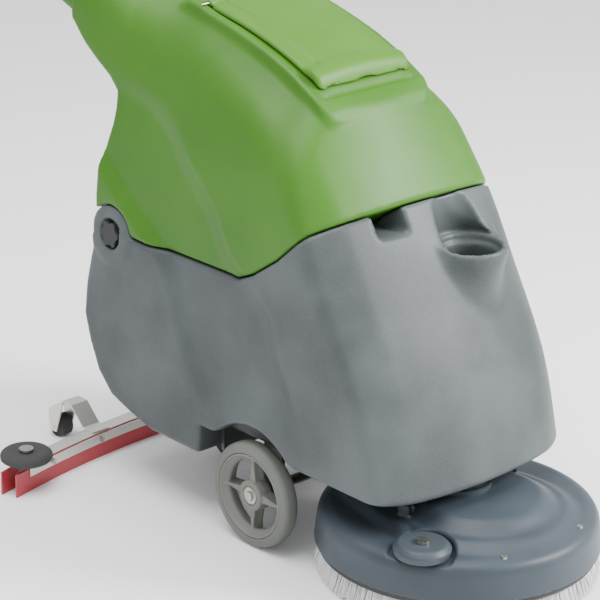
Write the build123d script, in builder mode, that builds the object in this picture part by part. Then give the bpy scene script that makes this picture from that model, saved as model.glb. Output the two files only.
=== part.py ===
"""Walk-behind floor scrubber with one disc brush, in millimetres.

The front faces -Y and +Z is up. The origin is on the floor, under the middle of the machine.
"""

from build123d import *
from math import cos, radians, sin
import os

# ---- driving dimensions ------------------------------------------------------------------
half_width = 235.0          # tanks, at their widest
wall = 5.0                  # moulded tank wall
seam = 3.0                  # gap between the grey tank and the green tank
running = 0.05              # radial clearance of a shaft in its bore
part_gap = 1.0              # gap between pieces that pass each other

wheel_radius = 100.0
wheel_width = 36.0
axle_y = -48.0
axle_radius = 10.0
arch_gap = 33.0             # room around the wheel, for stones and steering slack
arch_radius = wheel_radius + arch_gap

hinge_y, hinge_z = 345.0, 495.0
ear_radius = 54.0
ear_width = 32.0

deck_radius = 256.0
deck_gap = 40.0             # from the deck's rear edge to the wheel axle
deck_y = axle_y - deck_radius - deck_gap
deck_bottom, deck_top = 54.0, 122.0
deck_wall = 10.0            # at the side wall, which is thick for the skirt
deck_travel = 26.0          # how far the brush motor rises when the deck is lifted
arm_pivot_y, arm_pivot_z = -30.0, 160.0
motor_radius = 50.0
motor_top = 240.0
pocket_radius = 95.0

roller_radius = 51.0
roller_overhang = 9.7       # how far it stands out past the deck
roller_angle = radians(27.2)
roller_reach = deck_radius - roller_radius + roller_overhang
roller_x = -roller_reach * cos(roller_angle)
roller_y = deck_y - roller_reach * sin(roller_angle)
roller_top = 143.0
roller_thick = 22.0

caster_y = 250.0
caster_radius = 38.0
caster_offset = 26.0

blade_half = 445.0
blade_y = 463.0
blade_bow = 1700.0          # radius of the squeegee's curve
channel_half = 400.0
channel_top = 50.0
disc_x = 387.0
disc_radius = 50.0

tank_floor = 190.0          # underside of the grey tank ahead of the wheels
rear_floor = 133.0          # underside of the grey tank behind the wheels
bay_half = 150.0
bay_front, bay_back = -130.0, 215.0
bay_floor = 215.0

filler_x, filler_y, filler_z = 85.0, -267.0, 568.0
filler_radius = 64.0
notch_x = -75.0
notch_width = 66.0

lid_half = 110.0
coaming = 22.0              # width of the raised frame around the lid
handle_y, handle_z = 565.0, 938.0
handle_radius = 14.0
wing_inner = 150.0
wing_outer = 205.0

drain_radius = 14.0
drain_y, drain_z = 165.0, 172.0
lever_x, lever_y, lever_z = 94.0, 440.0, 360.0
pin_radius = 8.0

# ---- the shape that both tanks are cut from ----------------------------------------------
front_low = [(120, deck_y - 96), (195, deck_y - 79), (350, deck_y - 38), (500, deck_y + 36)]
front_line = front_low + [(580, -265), (655, -222), (740, -172), (805, -130), (1010, 0)]
width_line = [(120, 0), (520, 0), (600, 3), (700, 12), (800, 29), (900, 57), (1010, 85)]
bow_line = [(120, 0.5), (500, 0.6), (1010, 0.7)]
levels = [120, 195, 350, 500, 580, 655, 740, 805, 900, 1010]
back_limit = 640.0


def along(line, z):
    """The value of a line of (z, value) points at height z."""
    for (z0, v0), (z1, v1) in zip(line, line[1:]):
        if z <= z1:
            return v0 + (v1 - v0) * (z - z0) / (z1 - z0)
    return line[-1][1]


def hull(inset):
    """The tanks' common outside, bowed at the front and drawn in towards the top."""
    with BuildPart() as body:
        for z in levels:
            half = half_width - along(width_line, z) - inset
            front = along(front_line, z) + inset
            bow = along(bow_line, z)
            shoulder = front + 43 * bow
            middle = front + 73 * bow
            side = front + 114 * bow
            with BuildSketch(Plane.XY.offset(z)):
                with BuildLine():
                    Polyline((half, side), (half, back_limit), (-half, back_limit), (-half, side))
                    ThreePointArc((-half, side), (-0.936 * half, middle), (-0.787 * half, shoulder))
                    ThreePointArc((-0.787 * half, shoulder), (0, front), (0.787 * half, shoulder))
                    ThreePointArc((0.787 * half, shoulder), (0.936 * half, middle), (half, side))
                make_face()
        loft(ruled=True)
    return body.part


def side_slab(points, x_from, x_to):
    """A closed outline of (y, z) points in the side view, extruded from one X to another."""
    with BuildPart() as slab:
        with BuildSketch(Plane.YZ.offset(x_from)):
            with BuildLine():
                Polyline(*points, close=True)
            make_face()
        extrude(amount=x_to - x_from)
    return slab.part


def bar_x(radius, x_from, x_to, y, z):
    """A round bar along X."""
    with BuildPart() as bar:
        with BuildSketch(Plane.YZ.offset(x_from)):
            with Locations((y, z)):
                Circle(radius)
        extrude(amount=x_to - x_from)
    return bar.part


def post_z(radius, z_from, z_to, x, y):
    """A round post along Z."""
    with BuildPart() as post:
        with BuildSketch(Plane.XY.offset(z_from)):
            with Locations((x, y)):
                Circle(radius)
        extrude(amount=z_to - z_from)
    return post.part


def block(x_from, x_to, y_from, y_to, z_from, z_to):
    """A plain block between two corners."""
    with BuildPart() as piece:
        with BuildSketch(Plane.XY.offset(z_from)):
            with Locations(((x_from + x_to) / 2, (y_from + y_to) / 2)):
                Rectangle(x_to - x_from, y_to - y_from)
        extrude(amount=z_to - z_from)
    return piece.part


def save(piece, name):
    """Labels a finished sub-part and writes it."""
    piece.label = name
    export_step(piece, "parts/" + name + ".step")


def raised(line, rise):
    """A line of (y, z) points moved up by rise."""
    return [(y, z + rise) for y, z in line]


os.makedirs("parts", exist_ok=True)

# Lines in the side view, as (y, z).
split_line = [(hinge_y, 502), (0, 500), (-112, 566), (-174, 623), (-225, 655), (-480, 816)]
grey_rear = [(233, rear_floor), (353, 168), (392, 207), (429, 315), (405, 440), (hinge_y + ear_radius - 7, 478)]
lid_line = [(-88, 846), (-84, 855), (-33, 881), (19, 901), (71, 917), (124, 930), (178, 940), (205, 945)]
seat_line = [(-96, 826), (-84, 842), (-33, 868), (19, 888), (71, 904), (124, 917), (178, 927), (214, 934)]
green_rear = [(392, 527), (388, 560), (385, 600), (382, 644), (362, 700), (355, 763), (372, 790), (396, 812)]
wing_under = [(396, 812), (467, 877), (522, 897), (585, 912)]
console_top = [(214, 934), (260, 955), (310, 985), (345, 998)]
panel_line = [(350, 998), (470, 962)]

outer = hull(0)
inner = hull(wall)

# ---- solution tank ------------------------------------------------------------------------
step_y = 92.0
grey_outline = [(-480, tank_floor), (step_y, tank_floor), (step_y + 6, rear_floor)] + grey_rear + split_line
grey_inside = [
    (-480, tank_floor + wall), (step_y + wall, tank_floor + wall), (step_y + 6 + wall, rear_floor + wall),
    (233, rear_floor + wall), (350, 168 + wall + 2), (387, 211), (423, 315), (400, 435), (hinge_y + 44, 440),
    (hinge_y, 430), (hinge_y - 70, 497), (0, 495), (-112 + 3, 561), (-174 + 3, 618), (-225 + 3, 650), (-480, 808),
]
grey_block = side_slab(grey_outline, -half_width, half_width)
grey_hollow = side_slab(grey_inside, -half_width, half_width)
pocket_top = motor_top + deck_travel + 10
with BuildPart() as motor_pocket:
    add(post_z(pocket_radius, 100, pocket_top, 0, deck_y))
    add(inner, mode=Mode.INTERSECT)
bay_walls = block(-bay_half - wall, bay_half + wall, bay_front - wall, bay_back + wall, bay_floor - wall, 700)
bay_space = block(-bay_half, bay_half, bay_front, bay_back, bay_floor, 700)
arch_inner = half_width - wheel_width - 11
with BuildPart() as tank_space:
    add(inner)
    add(grey_hollow, mode=Mode.INTERSECT)
    add(bay_walls, mode=Mode.SUBTRACT)
    add(post_z(pocket_radius + wall, 100, pocket_top + wall, 0, deck_y), mode=Mode.SUBTRACT)
    add(post_z(filler_radius + wall, filler_z - 160, 700, filler_x, filler_y), mode=Mode.SUBTRACT)
    notch_lip = block(notch_x - notch_width / 2 - wall, notch_x + notch_width / 2 + wall, -480, -165, 560, 700)
    add(notch_lip, mode=Mode.SUBTRACT)
    for side in (-1, 1):
        low, high = sorted((side * (arch_inner - wall), side * half_width))
        add(bar_x(arch_radius + wall, low, high, axle_y, wheel_radius), mode=Mode.SUBTRACT)
        low, high = sorted((side * 180, side * half_width))
        add(bar_x(ear_radius, low, high, hinge_y, hinge_z), mode=Mode.SUBTRACT)

ear_inner = half_width - ear_width
with BuildPart() as solution_tank:
    add(outer)
    add(grey_block, mode=Mode.INTERSECT)
    for side in (-1, 1):
        low, high = sorted((side * (ear_inner - 20), side * half_width))
        add(bar_x(ear_radius, low, high, hinge_y, hinge_z))
    add(post_z(filler_radius + 2, 470, filler_z, filler_x, filler_y))
    add(tank_space.part, mode=Mode.SUBTRACT)
    add(bay_space, mode=Mode.SUBTRACT)
    add(motor_pocket.part, mode=Mode.SUBTRACT)
    add(bar_x(ear_radius + seam, -ear_inner, ear_inner, hinge_y, hinge_z), mode=Mode.SUBTRACT)
    add(post_z(filler_radius, filler_z, 760, filler_x, filler_y), mode=Mode.SUBTRACT)
    add(block(filler_x - filler_radius, filler_x + filler_radius, -480, filler_y, filler_z, 760), mode=Mode.SUBTRACT)
    add(post_z(filler_radius - 7, filler_z - 60, filler_z + 1, filler_x, filler_y), mode=Mode.SUBTRACT)
    add(post_z(filler_radius - 16, filler_z - 170, filler_z, filler_x, filler_y), mode=Mode.SUBTRACT)
    notch = block(notch_x - notch_width / 2, notch_x + notch_width / 2, -480, -170, 606, 700)
    add(notch, mode=Mode.SUBTRACT)
    for side in (-1, 1):
        low, high = sorted((side * arch_inner, side * (half_width + 1)))
        add(bar_x(arch_radius, low, high, axle_y, wheel_radius), mode=Mode.SUBTRACT)
        low, high = sorted((side * (half_width - 10), side * (half_width + 1)))
        add(bar_x(29, low, high, hinge_y, hinge_z), mode=Mode.SUBTRACT)
        low, high = sorted((side * (ear_inner - 1), side * half_width))
        add(bar_x(pin_radius + running, low, high, hinge_y, hinge_z), mode=Mode.SUBTRACT)
    add(bar_x(drain_radius + running, half_width - 9, half_width + 1, drain_y, drain_z), mode=Mode.SUBTRACT)
    for low in (lever_x - 11, lever_x + 7):
        add(block(low, low + 4, lever_y - 34, lever_y + 10, lever_z - 12, lever_z + 12))
    add(bar_x(4, lever_x - 9, lever_x + 9, lever_y, lever_z))
print("solution tank solids", len(solution_tank.part.solids()), solution_tank.part.is_valid)
save(solution_tank.part, "solution_tank")

# ---- recovery tank, lid and what rides on them -----------------------------------------------
green_split = raised(split_line, seam)[1:-1]
green_outline = (
    [(hinge_y - 30, 505)] + green_split + [(-480, 700), (-480, 803), (-132, 803)] + seat_line[:-1]
    + console_top + [panel_line[1], (476, 950), (467, 877)] + green_rear[::-1][:-1] + [(hinge_y + 40, 531)]
)
green_inside = (
    [(hinge_y - 70, 511), (-2, 511), (-114, 577), (-176, 634), (-230, 668), (-480, 700)]
    + [(-480, 797), (-134, 797)] + raised(seat_line[:-1], -6) + [(262, 948), (312, 978), (345, 990)]
    + [(462, 956), (461, 884), (392, 818), (364, 792), (348, 763), (355, 700), (375, 642), (378, 600), (380, 565)]
    + [(hinge_y + 25, 556), (hinge_y - 40, 548)]
)
lid_space = side_slab(raised(seat_line, 0) + [(214, 990), (-96, 990)], -lid_half - 2, lid_half + 2)
rim_top = raised(lid_line[1:-2], -9) + raised(lid_line[-2:], -3)
rim_outline = [(-128, 790), (-128, 802), (-98, 832)] + rim_top + [(214, 944), (236, 940), (236, 890)]
rim_half = lid_half + coaming
lid_pin_y, lid_pin_z = 209.0, 939.0
lid_knuckle = 6.0
lid_pin_radius = 2.5
basin_half = lid_half - 15
basin_front, basin_back, basin_floor = -70.0, 188.0, 780.0
basin = block(-basin_half, basin_half, basin_front, basin_back, basin_floor, 990)
motor_seat = 930.0
wing = [(380, 860)] + wing_under[1:] + [(596, 925), (598, 936), (590, 953), (560, 967), (470, 984), (350, 996)]
with BuildPart() as recovery_space:
    add(inner)
    add(side_slab(green_inside, -half_width, half_width), mode=Mode.INTERSECT)
    add(post_z(45, motor_seat, 1020, 0, 300), mode=Mode.SUBTRACT)
    add(block(-rim_half, rim_half, -140, basin_front, 700, 1000), mode=Mode.SUBTRACT)
with BuildPart() as recovery_tank:
    add(outer)
    add(side_slab(green_outline, -half_width, half_width), mode=Mode.INTERSECT)
    add(side_slab(rim_outline, -rim_half, rim_half))
    for side in (-1, 1):
        low, high = sorted((side * wing_inner, side * wing_outer))
        add(side_slab(wing, low, high))
    add(bar_x(ear_radius, -ear_inner + seam, ear_inner - seam, hinge_y, hinge_z))
    for side in (-1, 1):
        low, high = sorted((side * (ear_inner - seam), side * (half_width + 1)))
        add(bar_x(ear_radius + seam, low, high, hinge_y, hinge_z), mode=Mode.SUBTRACT)
        low, high = sorted((side * (ear_inner - 50), side * ear_inner))
        add(bar_x(pin_radius + running, low, high, hinge_y, hinge_z), mode=Mode.SUBTRACT)
        low, high = sorted((side * (wing_inner - 1), side * (wing_inner + 18)))
        add(bar_x(handle_radius + running, low, high, handle_y, handle_z), mode=Mode.SUBTRACT)
        low, high = sorted((side * (wing_inner - 1), side * (wing_inner + 12)))
        add(bar_x(5 + running, low, high, handle_y - 45, handle_z - 13), mode=Mode.SUBTRACT)
    add(lid_space, mode=Mode.SUBTRACT)
    add(recovery_space.part, mode=Mode.SUBTRACT)
    add(basin, mode=Mode.SUBTRACT)
    add(bar_x(lid_knuckle + 2 * part_gap, -lid_half - 2, lid_half + 2, lid_pin_y, lid_pin_z), mode=Mode.SUBTRACT)
    add(bar_x(lid_pin_radius + running, -rim_half + 6, rim_half - 6, lid_pin_y, lid_pin_z), mode=Mode.SUBTRACT)
    with BuildSketch(Plane.XZ.offset(-300)):
        with Locations((70, 730), (-70, 640)):
            Circle(16)
    extrude(amount=-130, mode=Mode.SUBTRACT)
print("recovery tank solids", len(recovery_tank.part.solids()), recovery_tank.part.is_valid)
save(recovery_tank.part, "recovery_tank")


with BuildPart() as tank_lid:
    add(side_slab(lid_line + [(205, 936)] + raised(seat_line[-2:0:-1], 3), -lid_half, lid_half))
    add(bar_x(lid_knuckle, -lid_half, lid_half, lid_pin_y, lid_pin_z))
    add(bar_x(lid_pin_radius + running, -lid_half - 1, lid_half + 1, lid_pin_y, lid_pin_z), mode=Mode.SUBTRACT)
save(tank_lid.part, "tank_lid")

gasket_line = seat_line[2:-1]
with BuildPart() as lid_gasket:
    add(side_slab(raised(gasket_line, 0.4) + raised(gasket_line[::-1], 3), -lid_half + 3, lid_half - 3))
    add(block(-98, 98, -31 + 8, 178 - 8, 800, 990), mode=Mode.SUBTRACT)
save(lid_gasket.part, "lid_gasket")

save(bar_x(lid_pin_radius, -rim_half + 6, rim_half - 6, lid_pin_y, lid_pin_z), "lid_pin")

with BuildPart() as vacuum_motor:
    add(post_z(60, 800, motor_seat, 0, 300))
    add(post_z(45, motor_seat - 12, motor_seat, 0, 300))
save(vacuum_motor.part, "vacuum_motor")

with BuildPart() as float_cage:
    add(post_z(30, 735, 800, 0, 300))
    add(post_z(26, 739, 796, 0, 300), mode=Mode.SUBTRACT)
    for height in (748, 764, 780):
        add(block(-40, 40, 295, 305, height, height + 8), mode=Mode.SUBTRACT)
        add(block(-5, 5, 260, 340, height, height + 8), mode=Mode.SUBTRACT)
save(float_cage.part, "float_cage")

spigot_radius = 15.9
spigot_bore = 12.5
with BuildPart() as tank_spigots:
    for x, z, seat in ((70, 730, 368), (-70, 640, 388)):
        with BuildSketch(Plane.XZ.offset(-336)):
            with Locations((x, z)):
                Circle(spigot_radius)
        extrude(amount=-(seat + 52 - 336))
        with BuildSketch(Plane.XZ.offset(-seat)):
            with Locations((x, z)):
                Circle(24)
        extrude(amount=-5)
        with BuildSketch(Plane.XZ.offset(-330)):
            with Locations((x, z)):
                Circle(spigot_bore)
        extrude(amount=-120, mode=Mode.SUBTRACT)
save(tank_spigots.part, "tank_spigots")

# ---- console --------------------------------------------------------------------------------
panel_mid = Plane(origin=(0, 410, 980), x_dir=(1, 0, 0), z_dir=(0, 36, 120))
panel_thick = 5.0
button_size = 20.0
button_travel = 3.0
with BuildPart() as control_panel:
    with BuildSketch(panel_mid):
        Rectangle(250, 112)
    extrude(amount=panel_thick)
    with BuildSketch(panel_mid.offset(1)):
        with Locations((5, 0), (40, 0)):
            Rectangle(button_size + 0.8, button_size + 0.8)
    extrude(amount=panel_thick, mode=Mode.SUBTRACT)
save(control_panel.part, "control_panel")

for name, x in (("brush_button", 5), ("vacuum_button", 40)):
    with BuildPart() as button:
        with BuildSketch(panel_mid.offset(1.2 + button_travel)):
            with Locations((x, 0)):
                Rectangle(button_size, button_size)
        extrude(amount=6)
    save(button.part, name)

with BuildPart() as battery_gauge:
    with BuildSketch(panel_mid.offset(panel_thick)):
        with Locations((-85, 0)):
            Rectangle(50, 28)
    extrude(amount=4)
save(battery_gauge.part, "battery_gauge")

with BuildPart() as key_switch:
    with BuildSketch(panel_mid.offset(panel_thick + 0.3)):
        with Locations((-35, 0)):
            Circle(11)
    extrude(amount=4)
    with BuildSketch(panel_mid.offset(panel_thick + 4)):
        with Locations((-35, 0)):
            Rectangle(4, 16)
    extrude(amount=18)
save(key_switch.part, "key_switch")

with BuildPart() as water_knob:
    with BuildSketch(panel_mid.offset(panel_thick + 0.3)):
        with Locations((90, 0)):
            Circle(17)
    extrude(amount=6)
    with BuildSketch(panel_mid.offset(panel_thick + 6)):
        with Locations((90, 0)):
            Circle(13)
    extrude(amount=12)
save(water_knob.part, "water_knob")

save(bar_x(handle_radius, -wing_inner - 17, wing_inner + 17, handle_y, handle_z), "handlebar")

trigger_y, trigger_z = handle_y - 45, handle_z - 13
trigger_line = [(trigger_y - 6, trigger_z - 3), (trigger_y + 3, trigger_z + 6), (trigger_y + 40, trigger_z - 16)]
with BuildPart() as deadman_lever:
    add(bar_x(6, -wing_inner + 6, wing_inner - 6, trigger_y + 36, trigger_z - 22))
    for side in (-1, 1):
        low, high = sorted((side * (wing_inner - 12), side * (wing_inner - 4)))
        add(side_slab(trigger_line + [(trigger_y + 34, trigger_z - 27)], low, high))
        low, high = sorted((side * (wing_inner - 12), side * (wing_inner + 10)))
        add(bar_x(5, low, high, trigger_y, trigger_z))
save(deadman_lever.part, "deadman_lever")

# ---- tank fittings ----------------------------------------------------------------------------
with BuildPart() as hinge_pins:
    for side in (-1, 1):
        low, high = sorted((side * (ear_inner - 48), side * (half_width - 10)))
        add(bar_x(pin_radius, low, high, hinge_y, hinge_z))
save(hinge_pins.part, "hinge_pins")

with BuildPart() as hinge_knobs:
    for side in (-1, 1):
        low = half_width - 10 if side > 0 else -half_width - 3
        with BuildSketch(Plane.YZ.offset(low)):
            with Locations((hinge_y, hinge_z)):
                Circle(21)
                with PolarLocations(19, 6):
                    Circle(7)
        extrude(amount=13)
save(hinge_knobs.part, "hinge_knobs")

with BuildPart() as drain_plug:
    add(bar_x(drain_radius, half_width - 12, half_width, drain_y, drain_z))
    add(bar_x(drain_radius + 4, half_width, half_width + 2, drain_y, drain_z))
save(drain_plug.part, "drain_plug")

with BuildPart() as filler_strainer:
    add(post_z(filler_radius - 8, filler_z - 60, filler_z - 57, filler_x, filler_y))
    add(post_z(filler_radius - 16.5, filler_z - 140, filler_z - 60, filler_x, filler_y))
    add(post_z(filler_radius - 19, filler_z - 137, filler_z, filler_x, filler_y), mode=Mode.SUBTRACT)
save(filler_strainer.part, "filler_strainer")

battery_top = bay_floor + 235
for name, low in (("battery_right", -bay_half + 2), ("battery_left", 1)):
    save(block(low, low + bay_half - 3, bay_front + 3, bay_back - 3, bay_floor, battery_top), name)
with BuildPart() as battery_posts:
    for x in (-110, -40, 40, 110):
        add(post_z(8, battery_top, battery_top + 16, x, bay_back - 40))
save(battery_posts.part, "battery_posts")

# ---- chassis frame, axle and wheels --------------------------------------------------------------
frame_half = 180.0
frame_front = deck_y + pocket_radius + 4
shaft_radius = 8.0
bracket_x = 170.0
flange_x = 134.0
squeegee_pin_y, squeegee_pin_z = 336.0, 118.0
pedal_y, pedal_z = 318.0, 130.0
with BuildPart() as chassis_frame:
    add(block(-frame_half, frame_half, frame_front, step_y, tank_floor - 6, tank_floor))
    add(block(-frame_half, frame_half, step_y - 8, step_y, rear_floor - 6, tank_floor))
    add(block(-120, 120, step_y - 8, 330, rear_floor - 6, rear_floor))
    add(block(-60, 60, 300, 350, rear_floor - 6, rear_floor))
    add(block(100, 120, 306, 330, rear_floor - 6, rear_floor + 17))
    add(block(100, 158, 306, 330, rear_floor + 11, rear_floor + 17))
    add(block(152, 158, 306, 330, pedal_z - 9, rear_floor + 17))
    add(post_z(30, rear_floor - 12, rear_floor, 0, caster_y))
    for side in (-1, 1):
        low, high = sorted((side * (frame_half - 5), side * frame_half))
        add(block(low, high, frame_front, axle_y - 40, tank_floor - 18, tank_floor))
        low, high = sorted((side * bracket_x, side * (bracket_x + 8)))
        add(block(low, high, axle_y - 24, axle_y + 24, wheel_radius - 16, tank_floor))
        low, high = sorted((side * flange_x, side * (flange_x + 6)))
        add(block(low, high, arm_pivot_y - 16, arm_pivot_y + 16, arm_pivot_z - 12, tank_floor))
        low, high = sorted((side * 16, side * 22))
        add(block(low, high, squeegee_pin_y - 11, squeegee_pin_y + 11, squeegee_pin_z - 11, rear_floor))
    add(block(-16, 16, squeegee_pin_y - 20, 360, rear_floor - 7, rear_floor + 1), mode=Mode.SUBTRACT)
    add(bar_x(6, -18, 18, squeegee_pin_y, squeegee_pin_z))
    add(bar_x(axle_radius, -frame_half, frame_half, axle_y, wheel_radius), mode=Mode.SUBTRACT)
    add(bar_x(shaft_radius, -frame_half, frame_half, arm_pivot_y, arm_pivot_z), mode=Mode.SUBTRACT)
    add(bar_x(5, 150, 160, pedal_y, pedal_z), mode=Mode.SUBTRACT)
    add(post_z(8 + running, 100, rear_floor, 0, caster_y), mode=Mode.SUBTRACT)
save(chassis_frame.part, "chassis_frame")

wheel_x = half_width + 2 - wheel_width / 2
hub_outer = wheel_x + 12
save(bar_x(axle_radius, -hub_outer, hub_outer, axle_y, wheel_radius), "wheel_axle")
save(bar_x(shaft_radius, -flange_x - 8, flange_x + 8, arm_pivot_y, arm_pivot_z), "deck_shaft")

with BuildPart() as axle_bolts:
    for side in (-1, 1):
        low, high = sorted((side * hub_outer, side * (hub_outer + 2)))
        add(bar_x(16, low, high, axle_y, wheel_radius))
        low, high = sorted((side * (hub_outer + 2), side * (hub_outer + 6)))
        with BuildSketch(Plane.YZ.offset(low)):
            with Locations((axle_y, wheel_radius)):
                RegularPolygon(9, 6)
        extrude(amount=4)
save(axle_bolts.part, "axle_bolts")

rim_radius = 80.0
for name, side in (("right", -1), ("left", 1)):
    low = side * wheel_x - wheel_width / 2
    with BuildPart() as wheel_tyre:
        add(bar_x(wheel_radius, low, low + wheel_width, axle_y, wheel_radius))
        edges = wheel_tyre.edges().filter_by(GeomType.CIRCLE)
        fillet(edges, 9)
        add(bar_x(rim_radius, low, low + wheel_width, axle_y, wheel_radius), mode=Mode.SUBTRACT)
    save(wheel_tyre.part, "wheel_tyre_" + name)
    with BuildPart() as wheel_rim:
        add(bar_x(rim_radius, low + 1, low + wheel_width - 1, axle_y, wheel_radius))
        add(bar_x(rim_radius - 6, low, low + wheel_width, axle_y, wheel_radius), mode=Mode.SUBTRACT)
        for turn in (0, 90):
            with BuildSketch(Plane.YZ.offset(low + 6)):
                with Locations(Location((axle_y, wheel_radius), turn + 45)):
                    Rectangle(2 * rim_radius - 6, 26)
            extrude(amount=wheel_width - 12)
        add(bar_x(30, low + 5, low + wheel_width - 5, axle_y, wheel_radius))
        add(bar_x(axle_radius + running, low, low + wheel_width, axle_y, wheel_radius), mode=Mode.SUBTRACT)
        face_from = hub_outer if side > 0 else -hub_outer - 12
        add(bar_x(18, face_from - (0.5 if side > 0 else 0), face_from + 12.5, axle_y, wheel_radius), mode=Mode.SUBTRACT)
    save(wheel_rim.part, "wheel_rim_" + name)

# ---- rear caster -----------------------------------------------------------------------------------
caster_axle_y = caster_y + caster_offset
caster_half = 13.0
with BuildPart() as caster_fork:
    add(post_z(28, rear_floor - 22, rear_floor - 12 - part_gap, 0, caster_y))
    add(block(-20, 20, caster_y, caster_axle_y + 10, rear_floor - 22, rear_floor - 16))
    for side in (-1, 1):
        low, high = sorted((side * 16, side * 20))
        leg = [(caster_y - 12, rear_floor - 16), (caster_axle_y + 10, rear_floor - 16), (caster_axle_y + 10, 28)]
        add(side_slab(leg + [(caster_axle_y - 10, 28)], low, high))
    add(post_z(8, rear_floor - 20, rear_floor, 0, caster_y))
    add(bar_x(5, -22, 22, caster_axle_y, caster_radius), mode=Mode.SUBTRACT)
save(caster_fork.part, "caster_fork")
save(bar_x(5, -22, 22, caster_axle_y, caster_radius), "caster_axle")
with BuildPart() as caster_wheel:
    add(bar_x(caster_radius, -caster_half, caster_half, caster_axle_y, caster_radius))
    fillet(caster_wheel.edges(), 4)
    add(bar_x(5 + running, -14, 14, caster_axle_y, caster_radius), mode=Mode.SUBTRACT)
save(caster_wheel.part, "caster_wheel")

# ---- brush deck ---------------------------------------------------------------------------------------
dome_y = deck_y - 56
dome_step_z, dome_top_z = 137.0, 155.0
dome_step_radius, dome_radius = 160.0, 125.0
deck_pin_z = 150.0
arm_x = 122.0
lug_x = 134.0
recess_z = roller_top - roller_thick - 3
with BuildPart() as deck_cover:
    with BuildSketch(Plane.XY.offset(deck_bottom)):
        with Locations((0, deck_y)):
            Circle(deck_radius)
    with BuildSketch(Plane.XY.offset(deck_top - 10)):
        with Locations((0, deck_y)):
            Circle(deck_radius - 6)
    with BuildSketch(Plane.XY.offset(deck_top)):
        with Locations((0, deck_y)):
            Circle(deck_radius - 16)
    loft(ruled=True)
    add(post_z(dome_step_radius, deck_top - 5, dome_step_z, 0, dome_y))
    add(post_z(dome_radius, deck_top - 5, dome_top_z, 0, dome_y))
    for side in (-1, 1):
        low, high = sorted((side * lug_x, side * (lug_x + 8)))
        add(block(low, high, deck_y - 10, deck_y + 10, deck_top - 5, deck_pin_z + 11))
        low, high = sorted((side * (arm_x - 2), side * (lug_x + 4)))
        add(bar_x(5, low, high, deck_y, deck_pin_z))
    add(post_z(deck_radius - deck_wall, 0, deck_top - 12, 0, deck_y), mode=Mode.SUBTRACT)
    add(post_z(deck_radius - 6, 0, deck_bottom + 18, 0, deck_y), mode=Mode.SUBTRACT)
    add(post_z(motor_radius + 1.5, 0, 200, 0, deck_y), mode=Mode.SUBTRACT)
    add(post_z(roller_radius + 3, recess_z, 200, roller_x, roller_y), mode=Mode.SUBTRACT)
save(deck_cover.part, "deck_cover")

with BuildPart() as brush_motor:
    add(post_z(motor_radius, deck_top - 25, motor_top, 0, deck_y))
    add(post_z(motor_radius + 20, deck_top - 25, deck_top - 12, 0, deck_y))
    add(post_z(12, 74, deck_top - 25, 0, deck_y))
    fillet(brush_motor.edges().group_by(Axis.Z)[-1], 8)
save(brush_motor.part, "brush_motor")

with BuildPart() as motor_collar:
    add(post_z(motor_radius + 7, dome_top_z, 168, 0, deck_y))
    add(post_z(motor_radius + 1.5, dome_top_z - 1, 169, 0, deck_y), mode=Mode.SUBTRACT)
save(motor_collar.part, "motor_collar")

with BuildPart() as splash_skirt:
    add(post_z(deck_radius - 6, deck_bottom - 10, deck_bottom + 18, 0, deck_y))
    add(post_z(deck_radius - 9.5, deck_bottom - 11, deck_bottom + 19, 0, deck_y), mode=Mode.SUBTRACT)
save(splash_skirt.part, "splash_skirt")

screw_circle = deck_radius - 30
screw_angles = (-116, -68, 60, 120)
with BuildPart() as deck_screws:
    with BuildSketch(Plane.XY.offset(deck_top)):
        for angle in screw_angles:
            with Locations((screw_circle * cos(radians(angle)), deck_y + screw_circle * sin(radians(angle)))):
                Circle(6)
    extrude(amount=3.5)
    add(post_z(8, recess_z, roller_top + 1, roller_x, roller_y))
    add(post_z(13, roller_top + 0.5, roller_top + 5, roller_x, roller_y))
save(deck_screws.part, "deck_screws")

with BuildPart() as bumper_roller:
    add(post_z(roller_radius, roller_top - roller_thick, roller_top, roller_x, roller_y))
    fillet(bumper_roller.edges(), 4)
    add(post_z(8 + running, 100, 200, roller_x, roller_y), mode=Mode.SUBTRACT)
save(bumper_roller.part, "bumper_roller")

block_bottom, block_top = 62.0, 80.0
brush_radius = deck_radius - 21
with BuildPart() as brush_block:
    add(post_z(brush_radius, block_bottom, block_top, 0, deck_y))
    add(post_z(60, 0, 200, 0, deck_y), mode=Mode.SUBTRACT)
save(brush_block.part, "brush_block")

with BuildPart() as brush_hub:
    add(post_z(60, block_bottom, block_top, 0, deck_y))
    add(post_z(70, block_top, block_top + 10, 0, deck_y))
    add(post_z(12 + running, 0, 200, 0, deck_y), mode=Mode.SUBTRACT)
save(brush_hub.part, "brush_hub")

with BuildPart() as brush_bristles:
    with BuildSketch(Plane.XY):
        with Locations((0, deck_y)):
            Circle(deck_radius - 3)
    with BuildSketch(Plane.XY.offset(block_bottom)):
        with Locations((0, deck_y)):
            Circle(brush_radius)
    loft()
    add(post_z(110, -1, 200, 0, deck_y), mode=Mode.SUBTRACT)
save(brush_bristles.part, "brush_bristles")

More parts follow.
